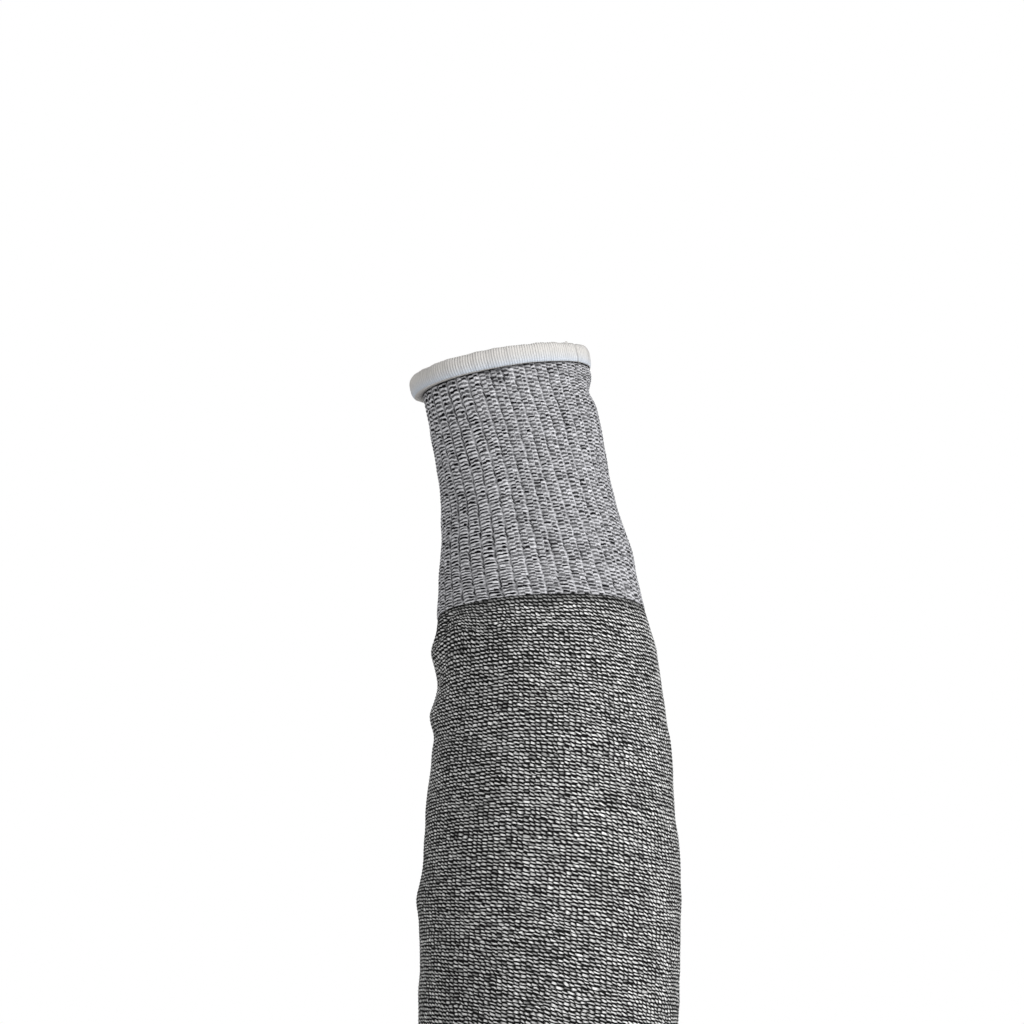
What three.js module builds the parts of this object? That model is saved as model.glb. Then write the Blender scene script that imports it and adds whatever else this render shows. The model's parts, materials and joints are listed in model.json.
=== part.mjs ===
// A knitted protective sleeve for the forearm, in the form it takes on a raised arm: an overcast
// edge at the wrist, a ribbed cuff, a long plain-knit body, and a lighter overcast edge at the top
// of the forearm. Each piece is a hollow wall of cloth that runs once round the arm.
// Millimetres. +Z points to the hand, +X to the right and -Y to the viewer. The origin is the
// middle of the wrist edge, and a depth is a distance below it.

import * as THREE from 'three';
import { ParametricGeometry } from 'three/addons/geometries/ParametricGeometry.js';

// Lengths along the arm
const sleeveLength = 356; // 14 inches, from edge to edge
const cuffLength = 90.5; // from the middle of the wrist edge to the change of knit
const edgeCover = 2.2; // how far an edging stands past the cloth that it wraps

// Outer sizes of the oval that the sleeve makes round the arm
const wristWidth = 60.2;
const wristDepth = 46;
const forearmWidth = 93;
const forearmDepth = 82.8;

// How far the middle of the forearm lies to the side of the wrist, and behind it
const armLean = 17;
const armBack = 4;

// Cloth
const cuffWall = 1.6;
const bodyWall = 1.4;
const seamGap = 0.3; // clearance between two pieces that meet

// Ribs of the cuff
const ribCount = 40;
const ribHeight = 0.7;
const ribTwist = 17; // degrees that a rib turns round the arm from the wrist to the change of knit
const ribFade = 8; // length over which the ribs rise out of the wrist edge

// Folds
const foldHeight = 2;
const foldLength = 9;

// Overcast edges. An edge stands proud of the cloth by proudMean, more on the thumb side and less
// on the far side by proudSwing.
const wristEdge = { height: 7, proudMean: 2.4, proudSwing: 1.4, lining: 1.2 };
const upperEdge = { height: 5, proudMean: 1.7, proudSwing: 0, lining: 1 };

// Fineness of the faceted walls
const slicesPerRib = 4;
const bodySlices = 48;
const edgeSlices = 40;
const contourSteps = 8;
const closestRings = 3.3; // least distance along the arm between two rings of faces

const wristTop = wristEdge.height / 2;
const upperEdgeMiddle = sleeveLength - wristTop - upperEdge.height / 2;
const bodyLength = upperEdgeMiddle - cuffLength;

// Sections of the arm. along: share of the cuff's or the body's length; girth: 0 at the wrist and 1
// at the widest; lean and back: shares of armLean and armBack; tilt: degrees by which the right end
// of the section stands up; nod: degrees by which its near side stands up.
const cuffSections = [
	{ along: - 0.06, girth: 0.035, lean: - 0.05, back: 0, tilt: 9.9, nod: - 1.8 },
	{ along: 0.00, girth: 0.03, lean: 0.00, back: 0, tilt: 9.9, nod: - 1.8 },
	{ along: 0.15, girth: 0.00, lean: 0.14, back: 0.02, tilt: 9.9, nod: - 1.2 },
	{ along: 0.28, girth: 0.025, lean: 0.29, back: 0.05, tilt: 9.4, nod: 0 },
	{ along: 0.44, girth: 0.03, lean: 0.43, back: 0.10, tilt: 8.4, nod: 1 },
	{ along: 0.61, girth: 0.115, lean: 0.565, back: 0.20, tilt: 6.4, nod: 2 },
	{ along: 0.78, girth: 0.29, lean: 0.67, back: 0.35, tilt: 4.4, nod: 2.5 },
	{ along: 1.00, girth: 0.45, lean: 0.80, back: 0.50, tilt: 2.5, nod: 3 },
];
const bodySections = [
	{ along: 0.058, girth: 0.60, lean: 0.91, back: 0.60, tilt: 2, nod: 3.7 },
	{ along: 0.115, girth: 0.67, lean: 0.96, back: 0.68, tilt: 1.6, nod: 4.3 },
	{ along: 0.19, girth: 0.785, lean: 1.00, back: 0.78, tilt: 1, nod: 5.2 },
	{ along: 0.27, girth: 0.88, lean: 1.00, back: 0.88, tilt: 0, nod: 5.5 },
	{ along: 0.35, girth: 0.965, lean: 1.01, back: 0.96, tilt: - 1.5, nod: 4 },
	{ along: 0.43, girth: 0.98, lean: 0.98, back: 1.00, tilt: - 3.2, nod: 1.8 },
	{ along: 0.52, girth: 0.968, lean: 0.95, back: 1.00, tilt: - 5, nod: 0.2 },
	{ along: 0.66, girth: 0.955, lean: 0.92, back: 0.95, tilt: - 4.5, nod: 0 },
	{ along: 0.82, girth: 0.965, lean: 0.87, back: 0.90, tilt: - 3, nod: 0 },
	{ along: 1.00, girth: 0.93, lean: 0.82, back: 0.85, tilt: - 1, nod: 0 },
];

// Folds and dents of the cloth. along: share of the cuff's or the body's length; angle: degrees
// round the arm, 0 on the right and 270 at the near side; rise: share of foldHeight, below zero for
// a dent; reach: share of foldLength; spread: degrees.
const cuffFolds = [
	{ along: 0.080, angle: 2, rise: 0.30, reach: 0.35, spread: 26 },
	{ along: 0.145, angle: 2, rise: - 0.60, reach: 0.40, spread: 30 },
];
const bodyFolds = [
	{ along: 0.042, angle: 214, rise: - 0.55, reach: 0.65, spread: 14 },
	{ along: 0.044, angle: 176, rise: 1.00, reach: 0.50, spread: 24 },
	{ along: 0.088, angle: 186, rise: - 0.25, reach: 0.45, spread: 26 },
	{ along: 0.138, angle: 178, rise: 0.80, reach: 0.55, spread: 28 },
	{ along: 0.170, angle: 184, rise: - 0.20, reach: 0.45, spread: 22 },
	{ along: 0.405, angle: 180, rise: 0.90, reach: 0.90, spread: 30 },
];

const { degToRad, lerp, smoothstep } = THREE.MathUtils;

const cuffDepth = ( along ) => along * cuffLength;
const bodyDepth = ( along ) => cuffLength + along * bodyLength;

// The section rows of both knits as one smooth course, so that they meet without a kink.
const sections = [
	...cuffSections.map( ( row ) => ( { ...row, depth: cuffDepth( row.along ) } ) ),
	...bodySections.map( ( row ) => ( { ...row, depth: bodyDepth( row.along ) } ) ),
];
const sectionValues = sections.flatMap( ( row ) => [ row.girth, row.lean, row.back, row.tilt, row.nod ] );
const course = new THREE.CubicInterpolant(
	sections.map( ( row ) => row.depth ), sectionValues, sectionValues.length / sections.length );

const folds = [
	...cuffFolds.map( ( row ) => ( { ...row, depth: cuffDepth( row.along ) } ) ),
	...bodyFolds.map( ( row ) => ( { ...row, depth: bodyDepth( row.along ) } ) ),
];

// How far the folds lift the cloth at an angle in radians: each is a rounded mound or hollow that
// falls off as a bell curve both ways.
function foldRise( angle, depth ) {

	return folds.reduce( ( sum, fold ) => {

		const turn = THREE.MathUtils.euclideanModulo( angle - degToRad( fold.angle ) + Math.PI, 2 * Math.PI ) - Math.PI;
		const across = turn / degToRad( fold.spread );
		const down = ( depth - fold.depth ) / ( fold.reach * foldLength );
		return sum + fold.rise * foldHeight * Math.exp( - across * across - down * down );

	}, 0 );

}

// The height of the cuff's ribs over its middle surface, where turn is the angle that follows them.
function ribRise( turn, depth ) {

	return ribHeight / 2 * Math.cos( ribCount * turn ) * smoothstep( depth, 0, ribFade );

}

// Puts target on the sleeve's outer surface at a depth, moved outwards by offset. The surface is an
// ellipse in each section, whose angle is eased so that equal turns take equal lengths of cloth.
// Ribs and mesh lines turn with ribTwist down the cuff, and keep that turn below it.
function onSleeve( turn, depth, offset, target ) {

	const [ girth, lean, back, tilt, nod ] = course.evaluate( depth );
	const halfWidth = lerp( wristWidth, forearmWidth, girth ) / 2;
	const halfDepth = lerp( wristDepth, forearmDepth, girth ) / 2;
	const twisted = turn + degToRad( ribTwist ) * THREE.MathUtils.clamp( depth / cuffLength, 0, 1 );
	const angle = twisted + ( halfWidth - halfDepth ) / ( 2 * ( halfWidth + halfDepth ) ) * Math.sin( 2 * twisted );
	const cos = Math.cos( angle ), sin = Math.sin( angle );
	const slant = Math.hypot( halfDepth * cos, halfWidth * sin );
	const out = offset + foldRise( angle, depth );
	const across = halfWidth * cos + out * halfDepth * cos / slant;
	const behind = halfDepth * sin + out * halfWidth * sin / slant;
	return target.set(
		armLean * lean + across,
		armBack * back + behind,
		- depth + across * Math.tan( degToRad( tilt ) ) - behind * Math.tan( degToRad( nod ) ) );

}

// A closed loop of { depth, offset } points swept round the arm. The loop goes up the outer face,
// over the upper edge, down the inner face and back along the lower edge.
function roundTheArm( name, loop, slices, colour, ribs = 0 ) {

	const geometry = new ParametricGeometry( ( u, v, target ) => {

		const place = v * loop.length;
		const from = loop[ Math.floor( place ) % loop.length ];
		const to = loop[ ( Math.floor( place ) + 1 ) % loop.length ];
		const share = place - Math.floor( place );
		const turn = 2 * Math.PI * u;
		const depth = lerp( from.depth, to.depth, share );
		const offset = lerp( from.offset( turn ), to.offset( turn ), share );
		onSleeve( turn, depth, offset + ribs * ribRise( turn, depth ), target );

	}, slices, loop.length );
	const material = new THREE.MeshStandardMaterial( { color: colour, roughness: 0.9, metalness: 0 } );
	const mesh = new THREE.Mesh( geometry, material );
	mesh.name = name;
	return mesh;

}

// The loop of a plain wall of cloth through a list of depths, from its lowest to its highest.
function clothLoop( depths, wall ) {

	const outer = depths.map( ( depth ) => ( { depth, offset: () => 0 } ) );
	const inner = depths.map( ( depth ) => ( { depth, offset: () => - wall } ) ).reverse();
	return [ ...outer, ...inner ];

}

// The depths that a wall is built through, lowest first: both ends, the crest of each fold, each
// section and the feet of each fold, in that order of rank. A depth that lies closer than
// closestRings to one of higher rank is left out.
function wallDepths( top, bottom, sectionDepths, foldRows ) {

	const crests = foldRows.map( ( row ) => row.depth );
	const feet = foldRows.flatMap( ( row ) => [ - 1, 1 ].map( ( side ) => row.depth + side * row.reach * foldLength ) );
	const kept = [ top, bottom ];
	for ( const depth of [ ...crests, ...sectionDepths, ...feet ] ) {

		const isInside = depth > top && depth < bottom;
		if ( isInside && kept.every( ( other ) => Math.abs( other - depth ) > closestRings ) ) kept.push( depth );

	}

	return kept.sort( ( a, b ) => b - a );

}

// The loop of an overcast edge: a round-cornered horseshoe, open on the side that the cloth comes
// from. side is 1 where the cloth hangs below the edge and -1 where it stands above it. The section
// bulges outwards to proudMean, more or less by proudSwing, and inwards by the wall and the lining.
function edgeLoop( edge, wall, middle, side ) {

	const cornerPower = 2 / 3;
	const openAngle = Math.PI / 4; // the horseshoe's feet lie this far round from its sides
	const rounded = ( value ) => Math.sign( value ) * Math.abs( value ) ** cornerPower;
	const halfHeight = edge.height / ( 1 + rounded( Math.sin( openAngle ) ) );
	const crown = middle - side * ( edge.height / 2 - halfHeight );
	const inside = wall + edge.lining;
	const proud = ( turn ) => edge.proudMean - edge.proudSwing * Math.cos( turn );
	const contour = Array.from( { length: contourSteps + 1 }, ( _, step ) => {

		const sweep = lerp( - openAngle, Math.PI + openAngle, step / contourSteps );
		return {
			depth: crown - side * halfHeight * rounded( Math.sin( sweep ) ),
			offset: ( turn ) => ( proud( turn ) - inside + ( proud( turn ) + inside ) * rounded( Math.cos( sweep ) ) ) / 2,
		};

	} );
	const feet = contour[ 0 ].depth;
	const roof = middle - side * ( edge.height / 2 - edgeCover + seamGap );
	const groove = [
		{ depth: feet, offset: () => - wall - seamGap },
		{ depth: roof, offset: () => - wall - seamGap },
		{ depth: roof, offset: () => seamGap },
		{ depth: feet, offset: () => seamGap },
	];
	const loop = [ ...contour, ...groove ];
	return side > 0 ? loop : loop.reverse();

}

const isInCuff = ( row ) => row.depth < cuffLength;
const cuffDepths = wallDepths( edgeCover - wristTop, cuffLength - seamGap / 2,
	cuffSections.map( ( row ) => cuffDepth( row.along ) ), folds.filter( isInCuff ) );
const bodyDepths = wallDepths( cuffLength + seamGap / 2, sleeveLength - wristTop - edgeCover,
	bodySections.map( ( row ) => bodyDepth( row.along ) ), folds.filter( ( row ) => ! isInCuff( row ) ) );

const sleeve = new THREE.Group();
sleeve.add(
	roundTheArm( 'wrist_edge', edgeLoop( wristEdge, cuffWall, 0, 1 ), edgeSlices, 0xe1ded8 ),
	roundTheArm( 'rib_cuff', clothLoop( cuffDepths, cuffWall ), ribCount * slicesPerRib, 0x898a8d, 1 ),
	roundTheArm( 'sleeve_body', clothLoop( bodyDepths, bodyWall ), bodySlices, 0x6c6d6d ),
	roundTheArm( 'upper_edge', edgeLoop( upperEdge, bodyWall, upperEdgeMiddle, - 1 ), edgeSlices, 0xe1ded8 ),
);

export default sleeve;
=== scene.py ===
# %% [markdown]
# # A cut resistant sleeve
# The real object is one knitted tube for the forearm: an overcast elastic edge at the wrist, a ribbed
# cuff, and a long plain-knit body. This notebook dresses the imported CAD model, which stays as the fixed
# frame: every piece made here stands for one of its nodes and keeps its place and size.

import json

import bpy
import numpy as np
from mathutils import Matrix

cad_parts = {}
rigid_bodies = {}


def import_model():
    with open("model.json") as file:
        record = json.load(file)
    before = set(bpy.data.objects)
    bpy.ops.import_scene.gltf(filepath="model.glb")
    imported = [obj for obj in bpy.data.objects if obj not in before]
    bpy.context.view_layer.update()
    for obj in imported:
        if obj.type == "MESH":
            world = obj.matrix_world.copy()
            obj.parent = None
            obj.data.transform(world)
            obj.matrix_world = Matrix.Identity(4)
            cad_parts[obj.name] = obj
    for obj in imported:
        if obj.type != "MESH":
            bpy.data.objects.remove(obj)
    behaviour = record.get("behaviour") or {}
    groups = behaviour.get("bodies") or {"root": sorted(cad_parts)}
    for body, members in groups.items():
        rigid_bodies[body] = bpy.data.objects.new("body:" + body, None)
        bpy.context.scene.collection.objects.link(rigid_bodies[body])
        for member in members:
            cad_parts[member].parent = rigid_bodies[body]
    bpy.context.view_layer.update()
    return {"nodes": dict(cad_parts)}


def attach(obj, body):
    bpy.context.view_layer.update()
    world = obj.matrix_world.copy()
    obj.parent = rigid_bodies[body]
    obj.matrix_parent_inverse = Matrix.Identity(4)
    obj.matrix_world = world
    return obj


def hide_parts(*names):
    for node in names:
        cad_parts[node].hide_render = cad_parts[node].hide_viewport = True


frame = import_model()
print("nodes:", sorted(frame["nodes"]))

# %% [markdown]
# ## The form of the worn sleeve
# Cloth has no shape of its own, so the first thing to write down is the form that it takes when worn:
# ovals at several heights, each with its size, place and tilt. A table of rows and a smooth course
# between them give the same surface as the CAD model. Vertices placed one by one could do it too, but a
# formula lets every piece, however fine, share one surface exactly. Left and right are as the camera
# sees them: left is -X.

# %% Ovals along the sleeve
CUFF = 90.5  # depth of the change of knit below the middle of the wrist edge, in millimetres
EDGE = 350.0  # depth of the middle of the upper edge
WALES = 120  # columns of stitches round the cuff
BODY_WALES = 128  # and round the body
RIBS = 40
TWIST = np.radians(17)  # turn of the ribs round the sleeve, from the wrist edge to the change of knit
CUFF_WALL = 1.6  # thickness of the cloth, with its ribs
BODY_WALL = 1.4

# share of the cuff's length, girth, lean, back, tilt, nod
CUFF_OVALS = np.array([
    (-0.06, 0.035, -0.05, 0.00, 9.9, -1.8),
    (0.00, 0.030, 0.00, 0.00, 9.9, -1.8),
    (0.15, 0.000, 0.14, 0.02, 9.9, -1.2),
    (0.28, 0.025, 0.29, 0.05, 9.4, 0.0),
    (0.44, 0.030, 0.43, 0.10, 8.4, 1.0),
    (0.61, 0.115, 0.565, 0.20, 6.4, 2.0),
    (0.78, 0.290, 0.67, 0.35, 4.4, 2.5),
    (1.00, 0.450, 0.80, 0.50, 2.5, 3.0),
])
# share of the body's length, and the same five values
BODY_OVALS = np.array([
    (0.058, 0.600, 0.91, 0.60, 2.0, 3.7),
    (0.115, 0.670, 0.96, 0.68, 1.6, 4.3),
    (0.19, 0.785, 1.00, 0.78, 1.0, 5.2),
    (0.27, 0.880, 1.00, 0.88, 0.0, 5.5),
    (0.35, 0.965, 1.01, 0.96, -1.5, 4.0),
    (0.43, 0.980, 0.98, 1.00, -3.2, 1.8),
    (0.52, 0.968, 0.95, 1.00, -5.0, 0.2),
    (0.66, 0.955, 0.92, 0.95, -4.5, 0.0),
    (0.82, 0.965, 0.87, 0.90, -3.0, 0.0),
    (1.00, 0.930, 0.82, 0.85, -1.0, 0.0),
])
WRIST_OVAL = np.array([60.2, 46.0])  # width and depth at girth 0
FOREARM_OVAL = np.array([93.0, 82.8])  # at girth 1
LEAN = 17.0  # how far the middle moves to the right at lean 1
BACK = 4.0  # and away from the viewer at back 1


def to_depths(rows, top, bottom):
    """The rows with their first column turned from a share into a depth: top + share * (bottom - top)."""
    placed = rows.copy()
    placed[:, 0] = top + rows[:, 0] * (bottom - top)
    return placed


OVALS = np.vstack([to_depths(CUFF_OVALS, 0, CUFF), to_depths(BODY_OVALS, CUFF, EDGE)])
print("ovals from", OVALS[0, 0], "to", OVALS[-1, 0], "mm")


# %% The smooth course between ovals
def oval_values(depth):
    """The five oval values at each depth: a cubic between two rows, whose slope at a row is the mean of
    the straight slopes on both sides of it. Beyond the table the end row holds."""
    at = OVALS[:, 0]
    straight = np.diff(OVALS[:, 1:], axis=0) / np.diff(at)[:, None]
    slope = np.vstack([straight[:1], (straight[:-1] + straight[1:]) / 2, straight[-1:]])
    held = np.clip(depth, at[0], at[-1])
    low = np.clip(np.searchsorted(at, held, side="right") - 1, 0, len(at) - 2)
    gap = (at[low + 1] - at[low])[..., None]
    s = (held - at[low])[..., None] / gap
    ends = OVALS[low, 1:] * (1 + 2 * s) * (1 - s) ** 2 + OVALS[low + 1, 1:] * s * s * (3 - 2 * s)
    bends = slope[low] * s * (1 - s) ** 2 - slope[low + 1] * s * s * (1 - s)
    return ends + gap * bends


# %% [markdown]
# ## Folds, and the slack of the cloth
# The knit is worn stretched, but on the left it has slipped into a few soft folds, and nowhere is it
# quite even. Each fold is a bell-shaped mound or dent, and a few long shallow waves give the slack. A
# cloth simulation would need a solid form to lie on, and its folds would not fall where the real ones
# do, so the folds are placed one by one.

# %% Mounds, dents and waves
FOLD_HEIGHT = 2.0  # millimetres at rise 1
FOLD_LENGTH = 9.0  # millimetres down the sleeve at reach 1
# share of the length, angle, rise, reach, spread round the sleeve in degrees
CUFF_FOLDS = np.array([
    (0.080, 2, 0.30, 0.35, 26),
    (0.145, 2, -0.60, 0.40, 30),
])
BODY_FOLDS = np.array([
    (0.042, 214, -0.55, 0.65, 14),
    (0.044, 176, 1.00, 0.50, 24),
    (0.088, 186, -0.25, 0.45, 26),
    (0.138, 178, 0.80, 0.55, 28),
    (0.170, 184, -0.20, 0.45, 22),
    (0.405, 180, 0.90, 0.90, 30),
])
FOLDS = np.vstack([to_depths(CUFF_FOLDS, 0, CUFF), to_depths(BODY_FOLDS, CUFF, EDGE)])
# millimetres high, millimetres from crest to crest down the sleeve, waves round it, where they start
WAVES = np.array([
    (0.16, 61.0, 3, 0.4),
    (0.13, 37.0, -5, 2.1),
    (0.10, 26.0, 7, 4.4),
    (0.08, 17.5, -4, 1.2),
    (0.06, 11.0, 9, 5.3),
])
# The crease: direction and spread in degrees, depth at that direction, and how much it climbs a radian
TUCK_ANGLE = 207
TUCK_SPREAD = 14
TUCK_DEPTH = 97
TUCK_CLIMB = 9
# height, place below the crease's middle and reach of its ridge and of its dent
TUCK_RIDGE = (0.9, 5.5, 2.8)
TUCK_DENT = (-3.0, 0.0, 2.3)


def bell(distance, reach):
    """1 at distance 0, falling off as exp(-(distance / reach) squared)."""
    return np.exp(-((distance / reach) ** 2))


def angle_from(angle, degrees):
    """The angle measured from a direction in degrees, as radians from -pi to pi."""
    return (angle - np.radians(degrees) + np.pi) % (2 * np.pi) - np.pi


def tuck(angle, depth):
    """The small crease that the pinch leaves: a dent that runs down to the left from the cuff's end, with
    a ridge under it. Both are height * bell down the sleeve, and fade out as a bell round it."""
    along = angle_from(angle, TUCK_ANGLE)
    below = depth - TUCK_DEPTH + TUCK_CLIMB * along
    shapes = (height * bell(below - place, reach) for height, place, reach in (TUCK_RIDGE, TUCK_DENT))
    return bell(along, np.radians(TUCK_SPREAD)) * sum(shapes)


def slack(angle, depth):
    """How far the cloth stands off the oval: the folds' bells plus the long waves."""
    rise = np.zeros(np.broadcast(angle, depth).shape)
    for at, towards, height, reach, spread in FOLDS:
        round_ = bell(angle_from(angle, towards), np.radians(spread))
        rise += height * FOLD_HEIGHT * round_ * bell(depth - at, reach * FOLD_LENGTH)
    for height, length, times, start in WAVES:
        rise += height * np.sin(2 * np.pi * depth / length + times * angle + start)
    return rise + tuck(angle, depth) * (depth > CUFF)


def on_sleeve(turn, depth, offset):
    """Points of the sleeve in metres, rings first. turn runs round it with the ribs, depth down it in
    millimetres, and offset moves a point outwards. The oval's angle is eased so that equal turns take
    equal lengths of cloth, and the ring is then tipped by its tilt and nod."""
    girth, lean, back, tilt, nod = np.moveaxis(oval_values(depth), -1, 0)
    half_width, half_depth = (
        (WRIST_OVAL[i] + girth * (FOREARM_OVAL[i] - WRIST_OVAL[i])) / 2 for i in (0, 1)
    )
    twisted = turn + TWIST * np.clip(depth / CUFF, 0, 1)
    ease = (half_width - half_depth) / (2 * (half_width + half_depth))
    angle = twisted + ease * np.sin(2 * twisted)
    cos, sin = np.cos(angle), np.sin(angle)
    slant = np.hypot(half_depth * cos, half_width * sin)
    out = offset + slack(angle, depth)
    across = half_width * cos + out * half_depth * cos / slant
    behind = half_depth * sin + out * half_width * sin / slant
    tipped = across * np.tan(np.radians(tilt)) - behind * np.tan(np.radians(nod))
    return np.stack([LEAN * lean + across, BACK * back + behind, tipped - depth], axis=-1) / 1000


# %% [markdown]
# ## One way to make every mesh
# A wall of cloth and a roll of thread are both a closed outline carried once round the sleeve. So one
# function turns a grid of points, closed both ways, into quads. Each corner also gets a place in a map
# that counts stitches, so that a pattern can follow the yarn wherever the cloth bends.

# %% Grid to mesh
def closed_mesh(name, points, across, along):
    """A mesh from points[ring, column]. The corner map "stitches" is across at each column and along at
    each ring, both with one entry more than the grid, for the corners that close it."""
    rings, columns = points.shape[:2]
    ring, column = np.mgrid[0:rings, 0:columns]
    next_ring, next_column = (ring + 1) % rings, (column + 1) % columns
    corners = np.stack([
        ring * columns + column,
        ring * columns + next_column,
        next_ring * columns + next_column,
        next_ring * columns + column,
    ], axis=-1)
    u = np.stack([across[column], across[column + 1], across[column + 1], across[column]], axis=-1)
    v = np.stack([along[ring], along[ring], along[ring + 1], along[ring + 1]], axis=-1)
    mesh = bpy.data.meshes.new(name)
    mesh.vertices.add(rings * columns)
    mesh.vertices.foreach_set("co", points.astype(np.float32).ravel())
    mesh.loops.add(corners.size)
    mesh.loops.foreach_set("vertex_index", corners.ravel())
    mesh.polygons.add(rings * columns)
    mesh.polygons.foreach_set("loop_start", np.arange(0, corners.size, 4))
    mesh.polygons.foreach_set("use_smooth", np.ones(rings * columns, bool))
    stitches = mesh.uv_layers.new(name="stitches")
    stitches.uv.foreach_set("vector", np.stack([u, v], axis=-1).astype(np.float32).ravel())
    mesh.update(calc_edges=True)
    mesh.validate()
    piece = bpy.data.objects.new(name, mesh)
    bpy.context.scene.collection.objects.link(piece)
    print(name + ":", rings, "rings x", columns, "columns,", 2 * rings * columns, "triangles")
    return piece


def stand_for(piece, node, material):
    """Makes a piece ride with the sleeve, stand for a CAD node and wear a finish."""
    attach(piece, "root")
    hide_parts(node)
    piece.data.materials.append(material)


# %% [markdown]
# ## Counting courses
# A course is one row of stitches. The body's courses lie closer together where the sleeve is wide,
# because the knit stretched sideways gets shorter. The count is the sum of 1 / pitch down the sleeve.
# The rows are not level: they sink and rise by a few stitches on their way round, and only at the two
# edges and at the change of knit are they held level.

# %% Courses down the sleeve
PITCH_DEPTHS = np.array([0.0, 85.0, 100.0, 130.0, 155.0, 180.0, 205.0, 232.0, 300.0])
PITCHES = np.array([1.37, 1.36, 1.41, 1.38, 1.31, 1.22, 1.21, 1.25, 1.32])  # millimetres
FINE_DEPTHS = np.linspace(-4, 360, 3641)  # every tenth of a millimetre, and past both ends
FINE_COUNT = np.cumsum(np.gradient(FINE_DEPTHS) / np.interp(FINE_DEPTHS, PITCH_DEPTHS, PITCHES))
RINGS_PER_COURSE = 3


def courses(depth, start):
    """How many courses lie between the depth start and each depth."""
    return np.interp(depth, FINE_DEPTHS, FINE_COUNT) - np.interp(start, FINE_DEPTHS, FINE_COUNT)


def course_depths(start, end):
    """Depths from start to end, with RINGS_PER_COURSE for each course."""
    total = courses(end, start)
    counts = np.linspace(0, total, int(round(total)) * RINGS_PER_COURSE + 1)
    return np.interp(counts + np.interp(start, FINE_DEPTHS, FINE_COUNT), FINE_COUNT, FINE_DEPTHS)


# Depth, then by how many courses the rows sink: on average, and as the cosine and sine of once round,
# the sine of twice round, and the cosine and sine of three times round
ROW_LEAN = np.array([
    (4.0, 0.0, 0.0, 0.0, 0.0, 0.0, 0.0),
    (16.0, -0.8, -2.5, -1.8, -0.4, 0.0, 0.0),
    (74.0, -0.8, -2.5, -1.9, -0.4, 0.0, 0.0),
    (90.5, 0.0, 0.0, 0.0, 0.0, 0.0, 0.0),
    (112.0, -2.0, 0.0, -2.5, -0.75, -0.2, -0.28),
    (160.0, -2.0, 0.4, -2.5, -0.55, -0.18, -0.28),
    (190.0, -1.5, 0.4, -1.8, -0.4, -0.13, -0.13),
    (225.0, -0.6, 0.7, -0.7, -0.1, 0.0, 0.0),
    (300.0, 0.0, 0.0, 0.0, 0.0, 0.0, 0.0),
])


def leaning(turn, depth):
    """The grid of depths for rows that sink and rise on their way round: depth + pitch * the sum of
    waves."""
    average, cos1, sin1, sin2, cos3, sin3 = (
        np.interp(depth, ROW_LEAN[:, 0], column)[:, None] for column in ROW_LEAN[:, 1:].T
    )
    once = average + cos1 * np.cos(turn) + sin1 * np.sin(turn)
    more = sin2 * np.sin(2 * turn) + cos3 * np.cos(3 * turn) + sin3 * np.sin(3 * turn)
    return depth[:, None] + np.interp(depth, PITCH_DEPTHS, PITCHES)[:, None] * (once + more)


print("courses on the cuff:", round(float(courses(CUFF, 0))))
print("courses on the body:", round(float(courses(EDGE, CUFF))))


CORNER = 0.25  # how much of each rim's corners is cut off, in millimetres


def wall_loop(depths, inner_rings, wall):
    """The outline of a wall of cloth, as ring depths and ring offsets: up the outer face, over the upper
    rim, down the inner face and under the lower rim, with both rims' corners cut off."""
    top, bottom = depths[0], depths[-1]
    inner = np.linspace(top + CORNER, bottom - CORNER, inner_rings)
    face = depths[1:-1][::-1]
    loop = np.concatenate([[bottom, bottom - CORNER], face, [top + CORNER, top, top], inner, [bottom]])
    offset = np.concatenate([
        [-CORNER, 0],
        np.zeros(len(face)),
        [0, -CORNER, CORNER - wall],
        np.full(inner_rings, -wall),
        [CORNER - wall],
    ])
    return loop, offset


# %% [markdown]
# ## The plain knit of the body
# Seen close, plain knit is a field of small mounds: each course is a ridge, and each stitch swells it.
# The mesh carries three rings for each course, which is enough for the ridges to show in the outline.
# Real loops of yarn would be over 20,000 separate rings, far too many, so the yarn itself is left to
# the material.

# %% Body mesh
SEAM = 0.1  # clearance at the change of knit
CLOTH_END = 0.3  # how far the cloth's hidden rim lies past the middle of the upper edge
BODY_COLUMNS = 156
BODY_INNER_RINGS = 10
BODY_RELIEF = 0.12  # half the height of a course's ridge
# millimetres up, angle and spread in degrees, depth and reach in millimetres
HUMPS = np.array([
    (2.6, 215, 15, 101, 9),
    (-2.2, 188, 13, 112, 12),
])
random = np.random.default_rng(20)


def hump(angle, depth):
    """How far the cloth is lifted below the cuff on the left: up where it is pinched, and down at the
    very side, where the fold hangs. It is the sum of rise * bell round the sleeve * bell down it."""
    return sum(
        rise * bell(angle_from(angle, towards), np.radians(spread)) * bell(depth - at, reach)
        for rise, towards, spread, at, reach in HUMPS
    )


def make_body():
    """The body's wall, with each course raised as -cos(2 pi course) and every place a little higher or
    lower than its neighbour."""
    depths = course_depths(CUFF + SEAM / 2, EDGE + CLOTH_END)
    loop, offset = wall_loop(depths, BODY_INNER_RINGS, BODY_WALL)
    turn = np.arange(BODY_COLUMNS) * 2 * np.pi / BODY_COLUMNS
    count = courses(loop, loop.min())
    outside = (offset == 0)[:, None]
    uneven = random.uniform(0.5, 1.5, (len(loop), BODY_COLUMNS))
    relief = -BODY_RELIEF * np.cos(2 * np.pi * count)[:, None] * uneven
    grid_turn, grid_depth = np.broadcast_arrays(turn, leaning(turn, loop))
    points = on_sleeve(grid_turn, grid_depth, offset[:, None] + outside * relief)
    points[..., 2] += hump(grid_turn + TWIST, grid_depth) / 1000
    across = np.arange(BODY_COLUMNS + 1) * BODY_WALES / BODY_COLUMNS
    return closed_mesh("sleeve_body_knit", points, across, np.append(count, count[0]))


body = make_body()

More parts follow.
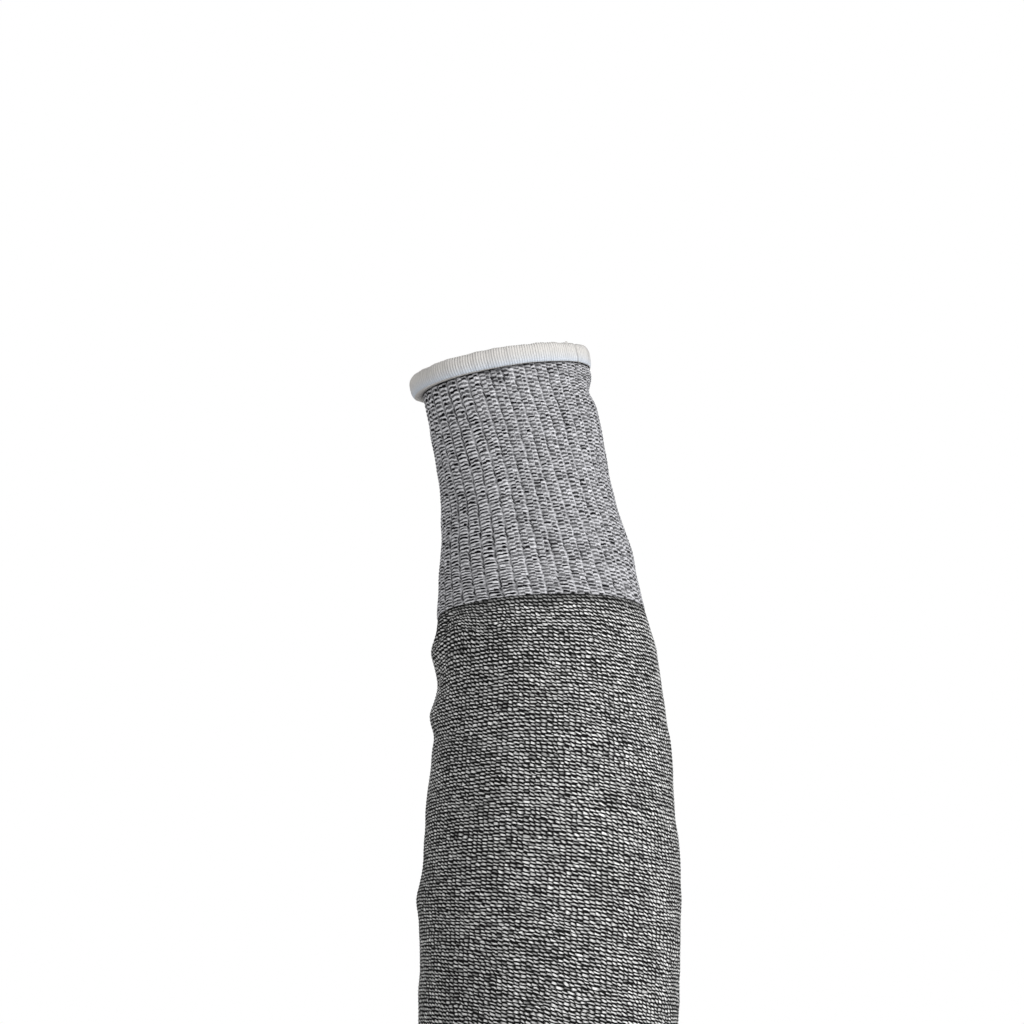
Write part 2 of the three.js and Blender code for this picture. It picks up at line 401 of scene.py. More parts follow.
# %% [markdown]
# ## The ribbed cuff
# A rib knit changes from stitch to stitch between its front and its back, and draws itself into ridges
# that grip the wrist. Here every third wale is a ridge. The ribs slant a little, because the sleeve was
# pulled on with a turn. The mesh has three columns for each wale and three rings for each course.

# %% Cuff mesh
RIB_HEIGHT = 0.5  # the solid model has 0.7, with rounder ribs
RIB_FLANK = 0.17  # share of a rib over which it climbs from the valley
RIB_FADE = 8.0  # length over which the ribs rise out of the wrist edge
RIB_LAG = 0.2  # share of a course by which the ridges sink in the valleys
CUFF_RELIEF = 0.1
CUFF_INNER_RINGS = 30
COLUMNS_PER_WALE = 3
CLOTH_TOP = -1.3  # depth of the cuff cloth's hidden upper rim


def ease_in(value, length):
    """0 to 1 over a length, level at both ends: 3 s squared - 2 s cubed."""
    s = np.clip(value / length, 0, 1)
    return s * s * (3 - 2 * s)


def make_cuff():
    """The cuff's wall: flat-topped ribs on both faces, from -1 in a valley to 1 on a crest by ease_in, and
    on the outer face a fine ridge for each course, sin(2 pi course), which sinks in the valleys."""
    depths = course_depths(CLOTH_TOP, CUFF - SEAM / 2)
    loop, offset = wall_loop(depths, CUFF_INNER_RINGS, CUFF_WALL)
    columns = COLUMNS_PER_WALE * WALES
    turn = np.arange(columns) * 2 * np.pi / columns
    from_valley = np.abs(turn * RIBS / (2 * np.pi) % 1 - 0.5)
    rib = 2 * ease_in(from_valley, RIB_FLANK) - 1
    count = courses(loop, CLOTH_TOP)
    outside = (offset == 0)[:, None]
    uneven = random.uniform(0.6, 1.4, (len(loop), columns))
    relief = CUFF_RELIEF * np.sin(2 * np.pi * (count[:, None] + RIB_LAG * rib)) * uneven
    ribs = RIB_HEIGHT / 2 * rib * ease_in(loop, RIB_FADE)[:, None]
    grid_turn, grid_depth = np.broadcast_arrays(turn, leaning(turn, loop))
    points = on_sleeve(grid_turn, grid_depth, offset[:, None] + ribs + outside * relief)
    across = np.arange(columns + 1) * WALES / columns
    return closed_mesh("rib_cuff_knit", points, across, np.append(count, count[0]))


cuff = make_cuff()

# %% [markdown]
# ## The overcast edges
# Each end is bound by a thread that wraps round and round the cloth's edge and makes a roll. At the
# wrist it is thick, and stands out on the left. The roll's outline is a horseshoe with the cloth in its
# groove. Every wrap is a small ridge across it, no two quite the same.

# %% Edge meshes
EDGE_GAP = 0.3  # clearance between the thread and the cloth in its groove
WRAP_COLUMNS = 5
SECTION_RINGS = 25
SECTION_POWER = 2 / 3  # 1 gives a plain oval, less gives squarer corners
OPENING = np.pi / 4  # half the angle over which the section is open to the cloth
WRAP_HEIGHT = 0.3
WRAP_POWER = 0.6  # less gives rounder wraps with sharper valleys
WRAP_SLANT = 0.35  # in wraps
LUMPS = (5, 9, 14, 23, 31)  # times round the edge
PINCH = 1.1  # how deep one wrap, pulled tight, cuts in
PINCH_ANGLE = 333
PINCH_REACH = 0.028  # in radians
GROOVE_PLACES = [1.05, 1.1, 1.15, 1.2]  # where the groove's four rings lie in the map


def make_edge(name, wraps, height, proud, swing, lining, cover, wall, middle, side, seed):
    """A roll of thread. Its section is a round-cornered oval, x = cos^(2/3), y = sin^(2/3), open by 45
    degrees each side, from the wall and lining inside to proud outside, which is more by swing on the
    left. Wraps lift it by a rounded ridge, |sin(pi wrap)|^0.6, and one tight wrap pinches it. Side is 1
    where the cloth enters from below, and -1 where it enters from above."""
    chance = np.random.default_rng(seed)
    sweep = np.linspace(-OPENING, np.pi + OPENING, SECTION_RINGS)[:, None]
    x, y = (np.sign(f) * np.abs(f) ** SECTION_POWER for f in (np.cos(sweep), np.sin(sweep)))
    columns = wraps * WRAP_COLUMNS
    turn = np.arange(columns)[None] * 2 * np.pi / columns
    foot_share = np.sin(OPENING) ** SECTION_POWER
    half = height / (1 + foot_share)
    crown = middle - side * (height / 2 - half)
    outer, inner = proud - swing * np.cos(turn), wall + lining
    wrap = np.arange(columns) // WRAP_COLUMNS
    phase = np.arange(columns)[None] / WRAP_COLUMNS + WRAP_SLANT * np.cos(sweep)
    thick = chance.uniform(0.75, 1.15, wraps)[wrap][None]
    lumps = sum(chance.uniform(0.02, 0.07) * np.sin(k * turn + chance.uniform(0, 6)) for k in LUMPS)
    ridge = WRAP_HEIGHT * thick * np.abs(np.sin(np.pi * phase)) ** WRAP_POWER + lumps
    pinch = PINCH * bell(angle_from(turn, PINCH_ANGLE), PINCH_REACH)
    ridge = ridge * np.clip(1.2 + y, 0, 1) - pinch  # lower ridges on the side towards the cloth
    depth = crown - side * half * y - side * ridge * np.sin(sweep)
    offset = (outer - inner + (outer + inner) * x) / 2 + ridge * np.cos(sweep)
    foot = np.full((1, columns), crown + side * half * foot_share)
    roof = np.full((1, columns), middle - side * (height / 2 - cover + EDGE_GAP))
    inside, outside = np.full((1, columns), -wall - EDGE_GAP), np.full((1, columns), EDGE_GAP)
    depth = np.vstack([depth, foot, roof, roof, foot])
    offset = np.vstack([offset, inside, inside, outside, outside])
    place = np.append(np.linspace(0, 1, len(sweep)), GROOVE_PLACES)
    if side < 0:
        depth, offset, place = depth[::-1], offset[::-1], place[::-1]
    points = on_sleeve(np.broadcast_to(turn, depth.shape), depth, offset)
    across = np.arange(columns + 1) / WRAP_COLUMNS
    return closed_mesh(name, points, across, np.append(place, place[-1]))


wrist_edge = make_edge(
    "wrist_edge_thread", wraps=190, height=7.0, proud=2.4, swing=1.4, lining=1.2, cover=2.2,
    wall=CUFF_WALL, middle=0.0, side=1, seed=3,
)
upper_edge = make_edge(
    "upper_edge_thread", wraps=250, height=5.0, proud=1.7, swing=0.0, lining=1.0, cover=2.2,
    wall=BODY_WALL, middle=EDGE, side=-1, seed=4,
)

# %% [markdown]
# ## A loop that has worked loose
# On the front of the wrist edge one turn of thread stands up out of the roll as a tiny loop. A hair
# strand would look as thin, but it can't be printed or exported, so the loop is a closed ring of round
# section, bent into the shape of a drop, with its foot sunk in the roll.

# %% Loose loop
LOOP_RINGS = 36
LOOP_SIDES = 8


def make_loop(name, degrees, foot_depth, foot_offset, height, width, radius):
    """A loop in the XZ plane: x = width sin(s) sin(s / 2), z = height (1 - cos(s)) / 2, and round that
    line a tube of the given radius, all in millimetres."""
    foot = on_sleeve(np.radians([[degrees]]), np.array([[foot_depth]]), foot_offset)[0, 0]
    s = np.arange(LOOP_RINGS)[:, None] * 2 * np.pi / LOOP_RINGS
    around = np.arange(LOOP_SIDES)[None] * 2 * np.pi / LOOP_SIDES
    x, z = width * np.sin(s) * np.sin(s / 2), height * (1 - np.cos(s)) / 2
    along_x, along_z = np.roll(x, -1) - np.roll(x, 1), np.roll(z, -1) - np.roll(z, 1)
    length = np.hypot(along_x, along_z)
    out = radius * np.cos(around)
    points = np.stack([
        x + out * along_z / length,
        radius * np.sin(around) + 0 * s,
        z - out * along_x / length,
    ], axis=-1)
    across, along = np.linspace(0, 1, LOOP_SIDES + 1), np.linspace(0.3, 0.9, LOOP_RINGS + 1)
    return closed_mesh(name, foot + points / 1000, across, along)


edge_loop = make_loop(
    "wrist_edge_loop", degrees=323, foot_depth=-2.8, foot_offset=0.3, height=1.2, width=0.5, radius=0.17
)

# %% [markdown]
# ## Patterns as formulas
# The yarn's pattern is a sum of simple shapes, and a sum is easier to read as a formula than as a web
# of nodes. A small class lets Python's own signs place the Math nodes. The nodes it leaves behind are
# ordinary ones, in groups with named sockets, and can be opened and changed by hand.

# %% Node helpers
class Wire:
    """A value in a node tree. Signs and methods on it place nodes and give a new value."""

    def __init__(self, tree, socket):
        self.tree = tree
        self.socket = socket

    def node(self, kind, *inputs, **settings):
        """Places a node with these settings, feeds its inputs in order and gives its first output."""
        node = self.tree.nodes.new(kind)
        for name, value in settings.items():
            setattr(node, name, value)
        for index, value in enumerate(inputs):
            feed(self.tree, node.inputs[index], value)
        return Wire(self.tree, node.outputs[0])

    def math(self, operation, *others):
        return self.node("ShaderNodeMath", self, *others, operation=operation)

    def __add__(self, other):
        return self.math("ADD", other)

    def __sub__(self, other):
        return self.math("SUBTRACT", other)

    def __rsub__(self, other):
        return self.math("MULTIPLY", -1.0).math("ADD", other)

    def __mul__(self, other):
        return self.math("MULTIPLY", other)

    def __truediv__(self, other):
        return self.math("DIVIDE", other)

    __radd__ = __add__
    __rmul__ = __mul__

    def size(self):
        return self.math("ABSOLUTE")

    def floor(self):
        return self.math("FLOOR")

    def rest(self):
        """What is left after the whole part, from 0 to 1."""
        return self.math("FRACT")

    def step(self, low, high, to_low=0.0, to_high=1.0):
        """A soft step from to_low below low to to_high above high."""
        ramp = self.node("ShaderNodeMapRange", self, low, high, to_low, to_high)
        ramp.socket.node.interpolation_type = "SMOOTHSTEP"
        return ramp

    def parts(self):
        """The three numbers of a vector or colour."""
        split = self.node("ShaderNodeSeparateXYZ", self)
        return [Wire(self.tree, socket) for socket in split.socket.node.outputs]


def feed(tree, socket, value):
    """Links a socket to a value of the tree, or sets it to a plain number or colour."""
    if isinstance(value, Wire):
        tree.links.new(value.socket, socket)
    else:
        socket.default_value = value


def vector(x, y, z):
    """A vector of three values, the first of which is a Wire."""
    return x.node("ShaderNodeCombineXYZ", x, y, z)


def chance_of(cell):
    """Three random numbers from 0 to 1, the same all over one cell."""
    noise = cell.node("ShaderNodeTexWhiteNoise", cell, noise_dimensions="3D")
    return Wire(cell.tree, noise.socket.node.outputs["Color"]).parts()


def between(low, high, share):
    """From low at share 0 to high at share 1, where share is a Wire."""
    return share * (high - low) + low


def clouds(place, scale, detail=1.0):
    """Slow noise about 0.5 at a place, finer with a higher scale."""
    noise = place.node("ShaderNodeTexNoise", noise_dimensions="3D")
    node = noise.socket.node
    feed(place.tree, node.inputs["Vector"], place)
    node.inputs["Scale"].default_value = scale
    node.inputs["Detail"].default_value = detail
    return Wire(place.tree, node.outputs["Fac"])


def blend_colours(share, low, high):
    """The colour between low and high at a share."""
    mix = share.node("ShaderNodeMix", data_type="RGBA")
    node = mix.socket.node
    feed(share.tree, node.inputs["Factor"], share)
    feed(share.tree, node.inputs[6], low)
    feed(share.tree, node.inputs[7], high)
    return Wire(share.tree, node.outputs[2])


def new_group(name, inputs, outputs):
    """A shader node group with named sockets. Gives the group, its inputs as Wires and its output node."""
    kinds = {"float": "NodeSocketFloat", "vector": "NodeSocketVector", "colour": "NodeSocketColor"}
    group = bpy.data.node_groups.new(name, "ShaderNodeTree")
    for label, (kind, value) in inputs.items():
        socket = group.interface.new_socket(label, in_out="INPUT", socket_type=kinds[kind])
        if value is not None:
            socket.default_value = value
    for label, kind in outputs.items():
        group.interface.new_socket(label, in_out="OUTPUT", socket_type=kinds[kind])
    entry = group.nodes.new("NodeGroupInput")
    given = {label: Wire(group, entry.outputs[label]) for label in inputs}
    print("group", name, "gives", ", ".join(outputs))
    return group, given, group.nodes.new("NodeGroupOutput")


# %% [markdown]
# ## The stitch grid
# Both knits share the first step: which stitch is this, where in it, and how does the yarn wander
# there? The map counts wales and courses. The slow noise that makes the rows wander is read on a
# cylinder, from the sine and cosine of the wale, so that it meets itself without a seam.

# %% Stitch grid group
CLOUD_GAIN = 4.0  # noise mostly keeps within 0.13 of its mean, and this widens it to half a stitch


def make_grid_group():
    """Stitch places: wale and course numbers, moved by slow noise (Wander) and by noise about as fine as
    a stitch (Fray), both as shares of a stitch, and the place on the cylinder."""
    group, given, exit_ = new_group(
        "Stitch grid",
        {
            "Stitches": ("vector", None),
            "Wales": ("float", WALES),
            "Wander": ("float", 0.3),
            "Fray": ("float", 0.1),
        },
        {"Wale": "float", "Course": "float", "Round": "vector"},
    )
    wale, course, _ = given["Stitches"].parts()
    turn = wale / given["Wales"] * (2 * np.pi)
    radius = given["Wales"] / (2 * np.pi)
    east, north = turn.math("COSINE") * radius, turn.math("SINE") * radius
    round_ = vector(east, north, course)
    by_course = vector(east, north, course.floor() * 5.0)
    elsewhere = vector(course + 31.0, east, north)
    sway = (clouds(round_, 0.12) - 0.5) * CLOUD_GAIN * given["Wander"]
    shift = (clouds(by_course, 0.25) - 0.5) * CLOUD_GAIN * given["Wander"]
    fray_up = (clouds(round_, 0.9, 0.0) - 0.5) * CLOUD_GAIN * given["Fray"]
    fray_side = (clouds(elsewhere, 0.7, 0.0) - 0.5) * CLOUD_GAIN * given["Fray"]
    feed(group, exit_.inputs["Wale"], wale + shift + fray_side)
    feed(group, exit_.inputs["Course"], course + sway + fray_up)
    feed(group, exit_.inputs["Round"], round_)
    return group


grid_group = make_grid_group()

# %% [markdown]
# ## The plain knit's yarn
# The body is knitted from a nearly black yarn and an off-white one together. On this side the white
# shows as a dash in each stitch, thick at its left and falling to the right, with dark gaps between
# the courses. A photograph of cloth would be quicker, but it would repeat, and could not be recoloured.

# %% Plain knit group
DASH_LEVEL = 0.85  # place along the stitch past which a dash sinks no more
DASH_MIDDLE = 0.45  # place at which it lies on its row
DASH_SHAKE = 0.16  # how far apart, in courses, dashes of one row may lie
FIRST_FADE = 1.5  # courses over which the first ones fade into the rest


def plain_dash(given, back):
    """The dash of the stitch that begins back wales to the left: how much light yarn shows, by the place
    t along it. Its middle line sinks by Fall over a wale, and its half thickness shrinks on the way. In
    some patches the wales part, and a dark gap shows before each dash."""
    wale, course = given["Wale"] - back, given["Course"]
    t = wale.rest() + back
    sunk = t.math("MINIMUM", DASH_LEVEL) - DASH_MIDDLE
    fallen = course - sunk * given["Fall"]
    chance = chance_of(vector(wale.floor(), fallen.floor(), 0.0))
    again = chance_of(vector(wale.floor(), fallen.floor(), 7.0))
    half = given["Thickness"] * between(1.1, 0.85, t) * between(0.75, 1.25, again[0])
    off = (fallen.rest() - 0.5 - (chance[1] - 0.5) * DASH_SHAKE).size()
    strand = off.step(half * 0.8, half * 1.1, 1.0, 0.0)
    parted = clouds(given["Round"], 0.3, 3.0).step(0.3, 0.64) * between(0.3, 1.0, again[1])
    head = t.step(-0.02, between(0.14, 0.38, chance[0]), between(0.34, 0.0, parted), 1.0)
    tail = t.step(between(0.65, 0.4, parted), between(1.25, 0.95, parted), 1.0, 0.0)
    dim = again[2].step(given["Dim share"] - 0.04, given["Dim share"] + 0.04, 0.4, 1.0)
    return strand * head * tail * between(0.6, 1.0, chance[2]) * dim


def make_plain_group():
    """In each stitch the lighter of two dashes, its own and the tail of the one before it, dimmed along
    slow streaks and by fine flecks. On the first courses, those below First courses, it is darkened,
    partly as the real darker first courses and partly as painted shade below the cuff's end."""
    group, given, exit_ = new_group(
        "Plain knit",
        {
            "Wale": ("float", 0.0),
            "Course": ("float", 0.0),
            "Round": ("vector", None),
            "Dark yarn": ("colour", (0.006, 0.006, 0.006, 1)),
            "Light yarn": ("colour", (0.94, 0.94, 0.93, 1)),
            "Fall": ("float", 0.4),
            "Thickness": ("float", 0.235),
            "Dim share": ("float", 0.07),
            "First courses": ("float", 2.0),
        },
        {"Color": "colour", "Height": "float", "Roughness": "float"},
    )
    # The dark between the dashes is the dark yarn, and partly painted shade in the gaps between the
    # courses.
    strand = plain_dash(given, 0.0).math("MAXIMUM", plain_dash(given, 1.0))
    east, north, down = given["Round"].parts()
    streak = clouds(vector(east, north, down * 4.0), 0.3, 2.0).step(0.36, 0.62)
    fleck = clouds(given["Round"], 2.3, 1.0).step(0.3, 0.62)
    fade = (given["First courses"] - FIRST_FADE, given["First courses"] + FIRST_FADE)
    # painted shade below the cuff's end, and partly the darker first courses themselves: the first courses
    # are dimmed to 0.35
    first = given["Course"].step(*fade, 0.35, 1.0)
    light = strand * between(0.8, 1.0, streak) * between(0.72, 1.0, fleck) * first
    feed(group, exit_.inputs["Color"], blend_colours(light, given["Dark yarn"], given["Light yarn"]))
    feed(group, exit_.inputs["Height"], strand)
    feed(group, exit_.inputs["Roughness"], 0.95 - 0.15 * light)
    return group


plain_group = make_plain_group()

# %% [markdown]
# ## The rib knit's yarn
# The cuff's yarn is mostly light. Each rib has two columns of stitches, the left one wide and the right
# one narrow and half a course off, with a dark slot between one stitch and the next. Broken dark strokes
# of painted shade run down the valleys. On the left side the yarn is lightened as a painted highlight,
# and the slots and the valleys' floor are darkened as painted shade.

# %% Rib knit group
LEFT_COLUMN = 0.25  # middles of a rib's two columns of stitches, as shares of the rib from its valley
RIGHT_COLUMN = 0.72
ARCH = 0.9  # courses by which a slot falls at one rib from the crest, growing with the square
STROKE_SLANT = 0.12  # ribs by which a stroke in a valley slants in a course
LEFT_SHADING_FROM = 6.0  # where the left side's arched slots, painted highlight and painted shade start and are full, in wales to the left on the cylinder
LEFT_SHADING_AT = 16.0


def rib_slots(given, p, number, closed):
    """How dark the slots are at the place p across a rib, with the valley at 0 and the crest at 0.5, and
    how light the stitch is. A slot is dark where it is within half its height of the middle between two
    stitches, and within reach of its column's middle. On the left side, where closed is 1, each slot is
    one arch right across its rib, which falls by ARCH (p - 1/2)^2 courses to both sides, and the slots
    are taller and darker there, as painted shade."""
    right = p.step(0.5, 0.54)
    middle = between(LEFT_COLUMN, RIGHT_COLUMN, right)
    stepped = 0.5 * right - (p - middle) * given["Fall"]
    arch = (p - 0.5) * (p - 0.5) * -ARCH
    lower = given["Course"] + stepped * (1.0 - closed) + arch * closed
    column = number * 2.0 + (p - 0.02).math("ROUND")
    chance = chance_of(vector(column, lower.floor(), 5.0))
    again = chance_of(vector(column, lower.floor(), 2.0))
    height = given["Slot height"] * between(0.95, 1.15, right) * between(0.75, 1.35, chance[0])
    # painted shade: on the left side, where closed is 1, the slots are made taller here and darker below
    height *= between(1.0, 1.1, closed)
    off = (lower.rest() - 0.5 - (chance[1] - 0.5) * 0.2).size()
    slot = off.step(height * 0.6, height * 1.35, 1.0, 0.0)
    reach = between(0.26, 0.2, right) * between(0.75, 1.15, chance[2])
    one = (p - middle - (again[0] - 0.5) * 0.06).size().step(reach * 0.75, reach * 1.2, 1.0, 0.25)
    one *= p.step(0.76, 0.9, 1.0, 0.5)
    both = (p - 0.5).size().step(0.3, 0.46, 1.0, 0.2)
    slot *= (between(0.7, 1.0, again[1]) + 0.1 * closed) * (one + (both - one) * closed)
    return slot, between(0.85, 1.0, right) * between(0.7, 1.0, again[2])


def rib_valley(given, rib, closed):
    """How dark the strokes in the valleys are, and how dark the valleys' floor is: both are painted shade
    in the valleys, and the floor's painted shade is strong only on the left side, where closed is 1.
    """
    beside = (rib + 0.5).rest() - 0.5
    valley = rib.math("ROUND")
    chance = chance_of(vector(valley, given["Course"].floor(), 9.0))
    run = clouds(vector(valley * 3.7, given["Course"] * 0.22, 0.0), 1.0).step(0.42, 0.56)
    slanted = beside - (given["Course"].rest() - 0.5) * STROKE_SLANT
    # painted shade: broken dark strokes down the valleys
    line = slanted.size().step(given["Valley"] * 0.5, given["Valley"] * 1.4, 1.0, 0.0)
    line *= between(0.1, 1.0, run) * chance[0].step(0.3, 0.6, 0.15, 1.0)
    # painted shade on the valleys' floor, strong only on the left side
    floor_ = beside.size().step(0.02, between(0.1, 0.18, closed), 1.0, 0.0)
    return line, floor_ * (0.1 + closed * between(0.35, 0.9, chance[1]))


def make_rib_group():
    """The light yarn less the slots and the painted shade of the valleys. On the left of the cylinder,
    where closed is 1, the slots turn into arches, the yarn is lightened as a painted highlight, and the
    slots and valleys are darkened as painted shade."""
    group, given, exit_ = new_group(
        "Rib knit",
        {
            "Wale": ("float", 0.0),
            "Course": ("float", 0.0),
            "Round": ("vector", None),
            "Dark yarn": ("colour", (0.003, 0.003, 0.004, 1)),
            "Light yarn": ("colour", (0.7, 0.7, 0.73, 1)),
            "Fall": ("float", 0.4),
            "Slot height": ("float", 0.24),
            "Valley": ("float", 0.06),
            "First courses": ("float", 4.0),
        },
        {"Color": "colour", "Height": "float", "Roughness": "float"},
    )
    rib = given["Wale"] * (RIBS / WALES) + 0.5
    east, north, _ = given["Round"].parts()
    # closed is 1 on the left side of the cuff: there the slots are arches, the yarn gets a painted
    # highlight and the slots and valleys get more painted shade
    closed = (east * -1.0 + north * -0.15).step(LEFT_SHADING_FROM, LEFT_SHADING_AT)
    slot, stitch = rib_slots(given, rib.rest(), rib.floor(), closed)
    line, floor_ = rib_valley(given, rib, closed)
    fleck = clouds(given["Round"], 2.6, 1.0).step(0.32, 0.6)
    # painted highlight: the yarn is made up to 1.7 times lighter on the left side
    yarn = stitch * between(0.55, 1.0, fleck) * between(1.0, 1.7, closed)
    # painted shade under the wrist edge's roll, and partly darker yarn: the first courses are dimmed to
    # 0.3
    first = given["Course"].step(given["First courses"] - 0.6, given["First courses"] + 0.6, 0.3, 1.0)
    light = yarn * (1.0 - slot) * (1.0 - line * 0.9) * (1.0 - floor_) * first
    feed(group, exit_.inputs["Color"], blend_colours(light, given["Dark yarn"], given["Light yarn"]))
    feed(group, exit_.inputs["Height"], (1.0 - slot) * (1.0 - line))
    feed(group, exit_.inputs["Roughness"], 0.95 - 0.15 * light)
    return group


rib_group = make_rib_group()

# %% [markdown]
# ## The edge's thread
# The overcasting is soft white elastic thread. Its wraps are in the mesh; the material adds the fine
# strands in each wrap, painted shade between wraps, a painted cool reflection on the roll's lower outer
# side and the slow change of tone of a slightly soiled thread.

# %% Thread group
STRANDS = 3  # in each wrap
# The dark end of the thread's tone: painted shade between the wraps, and the soiled tone of the thread
SHADE_AND_SOIL = (0.2, 0.2, 0.22, 1)  # colour between the wraps


def make_thread_group():
    """Strands across the roll as sines of the wrap number, a painted shade where two wraps meet, and a
    painted cool reflection: a tint that cools towards the roll's lower outer side."""
    group, given, exit_ = new_group(
        "Overcast thread",
        {
            "Stitches": ("vector", None),
            "Place": ("vector", None),
            "Warm": ("colour", (0.68, 0.66, 0.63, 1)),
            "Cool reflection": ("colour", (0.62, 0.67, 0.74, 1)),
            "Shade": ("float", 0.5),
        },
        {"Color": "colour", "Height": "float"},
    )
    wrap, place, _ = given["Stitches"].parts()
    slow = clouds(given["Place"], 90.0, 2.0)
    fine = clouds(given["Place"], 700.0, 2.0)
    bent = wrap + (fine - 0.5) * 0.5
    # painted shade: darker where two wraps meet
    meeting = ((bent.rest() - 0.5).size() - 0.5).size().step(0.0, 0.16, 1.0, 0.0)
    strand = (bent * (2 * np.pi * STRANDS)).math("SINE") * 0.5 + 0.5
    chance = chance_of(vector(wrap.floor(), 0.0, 0.0))
    tone = (1.0 - given["Shade"] * meeting) * (0.88 + 0.08 * strand + 0.08 * chance[0])
    tone = tone * between(0.8, 1.06, slow)
    # painted reflection: the roll's lower outer side is tinted cool, as if lit by cool light
    tint = blend_colours(place.step(0.02, 0.22), given["Cool reflection"], given["Warm"])
    feed(group, exit_.inputs["Color"], blend_colours(tone, SHADE_AND_SOIL, tint))
    feed(group, exit_.inputs["Height"], strand * 0.4 + (1.0 - meeting) * 0.6)
    return group


thread_group = make_thread_group()


# %% [markdown]
# ## Three finishes
# A material joins the groups to the shader. Only what changes over the surface comes from a group.
# What is the same everywhere, such as the cloth's faint sheen, is set on the shader itself.

# %% Materials
SHINE = 0.06  # specular level of matt yarn
KNIT_RELIEF = 0.0003  # metres
THREAD_RELIEF = 0.0002


def new_material(name, sheen):
    """An empty cloth material: its tree, its shader node and its nodes for the map and the place."""
    material = bpy.data.materials.new(name)
    material.use_nodes = True
    tree = material.node_tree
    shader = tree.nodes["Principled BSDF"]
    shader.inputs["Specular IOR Level"].default_value = SHINE
    shader.inputs["Sheen Weight"].default_value = sheen
    shader.inputs["Sheen Roughness"].default_value = 0.5
    shader.inputs["Roughness"].default_value = 0.9
    stitches = tree.nodes.new("ShaderNodeUVMap")
    stitches.uv_map = "stitches"
    place = tree.nodes.new("ShaderNodeTexCoord")
    return material, tree, shader, Wire(tree, stitches.outputs[0]), Wire(tree, place.outputs["Object"])


def add_group(tree, group, **values):
    """Places a group and sets or links its inputs."""
    node = tree.nodes.new("ShaderNodeGroup")
    node.node_tree = group
    for name, value in values.items():
        feed(tree, node.inputs[name], value)
    return {socket.name: Wire(tree, socket) for socket in node.outputs}


def add_bump(tree, shader, height, depth):
    """Turns a height from 0 to 1 into relief that is depth metres deep."""
    bump = tree.nodes.new("ShaderNodeBump")
    bump.inputs["Distance"].default_value = depth
    feed(tree, bump.inputs["Height"], height)
    tree.links.new(bump.outputs["Normal"], shader.inputs["Normal"])


def knit_material(name, group, wales, wander, fray):
    """A knit: the stitch grid, then the knit's own group, then its relief."""
    material, tree, shader, stitches, _ = new_material(name, sheen=0.02)
    grid = add_group(tree, grid_group, Stitches=stitches, Wales=wales, Wander=wander, Fray=fray)
    knit = add_group(tree, group, **grid)
    feed(tree, shader.inputs["Base Color"], knit["Color"])
    feed(tree, shader.inputs["Roughness"], knit["Roughness"])
    add_bump(tree, shader, knit["Height"], KNIT_RELIEF)
    return material


def thread_material(name):
    """The overcast thread."""
    material, tree, shader, stitches, place = new_material(name, sheen=0.2)
    thread = add_group(tree, thread_group, Stitches=stitches, Place=place)
    feed(tree, shader.inputs["Base Color"], thread["Color"])
    add_bump(tree, shader, thread["Height"], THREAD_RELIEF)
    return material


plain_knit = knit_material("body_knit", plain_group, wales=BODY_WALES, wander=0.35, fray=0.14)
rib_knit = knit_material("rib_knit", rib_group, wales=WALES, wander=0.2, fray=0.13)
edge_thread = thread_material("edge_thread")
stand_for(body, "sleeve_body", plain_knit)
stand_for(cuff, "rib_cuff", rib_knit)
stand_for(wrist_edge, "wrist_edge", edge_thread)
stand_for(edge_loop, "wrist_edge", edge_thread)
stand_for(upper_edge, "upper_edge", edge_thread)
print("materials:", [material.name for material in (plain_knit, rib_knit, edge_thread)])

# %% [markdown]
# ## What the cloth was before it was pulled on
# Both knits are sheets, knitted as tubes. Their flat sizes are the tube slit open and laid down. Here
# they are given as the size that they have when worn, because a knit gives way and comes back.

# %% [markdown]
# ## Stage, light and camera
# The photograph looks slightly up at the upright sleeve in front of white, lit by large soft lights,
# the stronger one from the right. The floor lies below what the camera sees.

# %% Floor
def make_floor(height, reach):
    """A square floor of pale matt paint, reach metres to each side."""
    corners = reach * np.array([(-1, -1, 0), (1, -1, 0), (1, 1, 0), (-1, 1, 0)]) + [0, 0, height]
    mesh = bpy.data.meshes.new("floor")
    mesh.from_pydata(corners.tolist(), [], [(0, 1, 2, 3)])
    floor = bpy.data.objects.new("floor", mesh)
    bpy.context.scene.collection.objects.link(floor)
    paint = bpy.data.materials.new("pale_floor")
    paint.use_nodes = True
    paint.node_tree.nodes["Principled BSDF"].inputs["Base Color"].default_value = (0.8, 0.8, 0.8, 1)
    paint.node_tree.nodes["Principled BSDF"].inputs["Roughness"].default_value = 0.9
    mesh.materials.append(paint)
    print("floor at", height, "m")


make_floor(height=-0.62, reach=6.0)


# %% Lights
SLEEVE_MIDDLE = np.array([0.01, 0, -0.15])  # of the part that the photograph shows


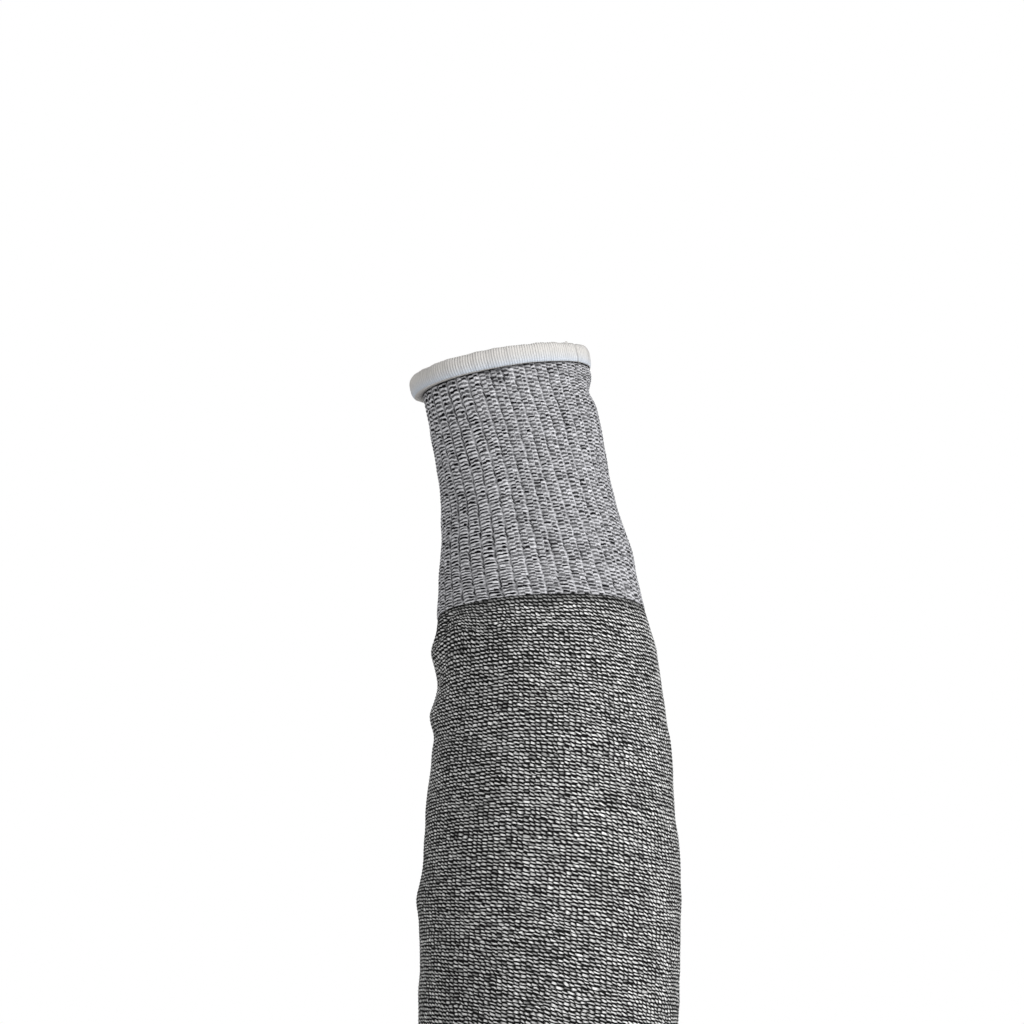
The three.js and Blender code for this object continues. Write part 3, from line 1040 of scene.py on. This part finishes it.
def aim(thing, target):
    """Turns a light so that it shines at the target."""
    away = np.array(thing.location) - target
    flat = np.hypot(away[0], away[1])
    thing.rotation_euler = (np.arctan2(flat, away[2]), 0, np.arctan2(away[0], -away[1]))


def add_softbox(name, place, size, watts):
    """A square soft light that faces the middle of the sleeve."""
    data = bpy.data.lights.new(name, "AREA")
    data.size = size
    data.energy = watts
    light = bpy.data.objects.new(name, data)
    light.location = place
    aim(light, SLEEVE_MIDDLE)
    bpy.context.scene.collection.objects.link(light)
    print(name + ":", watts, "W,", size, "m wide")


add_softbox("key_light", (1.5, -1.1, 0.4), size=1.2, watts=38)
add_softbox("fill_light", (-1.1, -1.5, 0.1), size=1.4, watts=8)


def make_world(shown, cast):
    """A white room: the camera sees it at the brightness shown, and it lights the sleeve with cast."""
    world = bpy.data.worlds.new("white_room")
    world.use_nodes = True
    tree = world.node_tree
    tree.nodes.clear()
    path = tree.nodes.new("ShaderNodeLightPath")
    mix = tree.nodes.new("ShaderNodeMixShader")
    tree.links.new(path.outputs["Is Camera Ray"], mix.inputs[0])
    for index, strength in ((1, cast), (2, shown)):
        light = tree.nodes.new("ShaderNodeBackground")
        light.inputs["Color"].default_value = (1, 1, 1, 1)
        light.inputs["Strength"].default_value = strength
        tree.links.new(light.outputs[0], mix.inputs[index])
    out = tree.nodes.new("ShaderNodeOutputWorld")
    tree.links.new(mix.outputs[0], out.inputs[0])
    bpy.context.scene.world = world


make_world(shown=1.0, cast=0.44)
bpy.context.scene.view_settings.view_transform = "Standard"


# %% Camera
def make_camera(distance, elevation, target, lens):
    """A camera that looks along +Y at the target, from below the horizon where elevation is negative."""
    camera = bpy.data.objects.new("camera", bpy.data.cameras.new("camera"))
    tip = np.radians(elevation)
    camera.location = np.array(target) + distance * np.array([0, -np.cos(tip), np.sin(tip)])
    camera.rotation_euler = (np.pi / 2 - tip, 0, 0)
    camera.data.lens = lens
    camera.data.sensor_width = 36
    bpy.context.scene.collection.objects.link(camera)
    bpy.context.scene.camera = camera
    print("camera:", lens, "mm lens,", distance, "m away")


make_camera(distance=1.0, elevation=-12.5, target=(0.003, 0, -0.0528), lens=96.05)
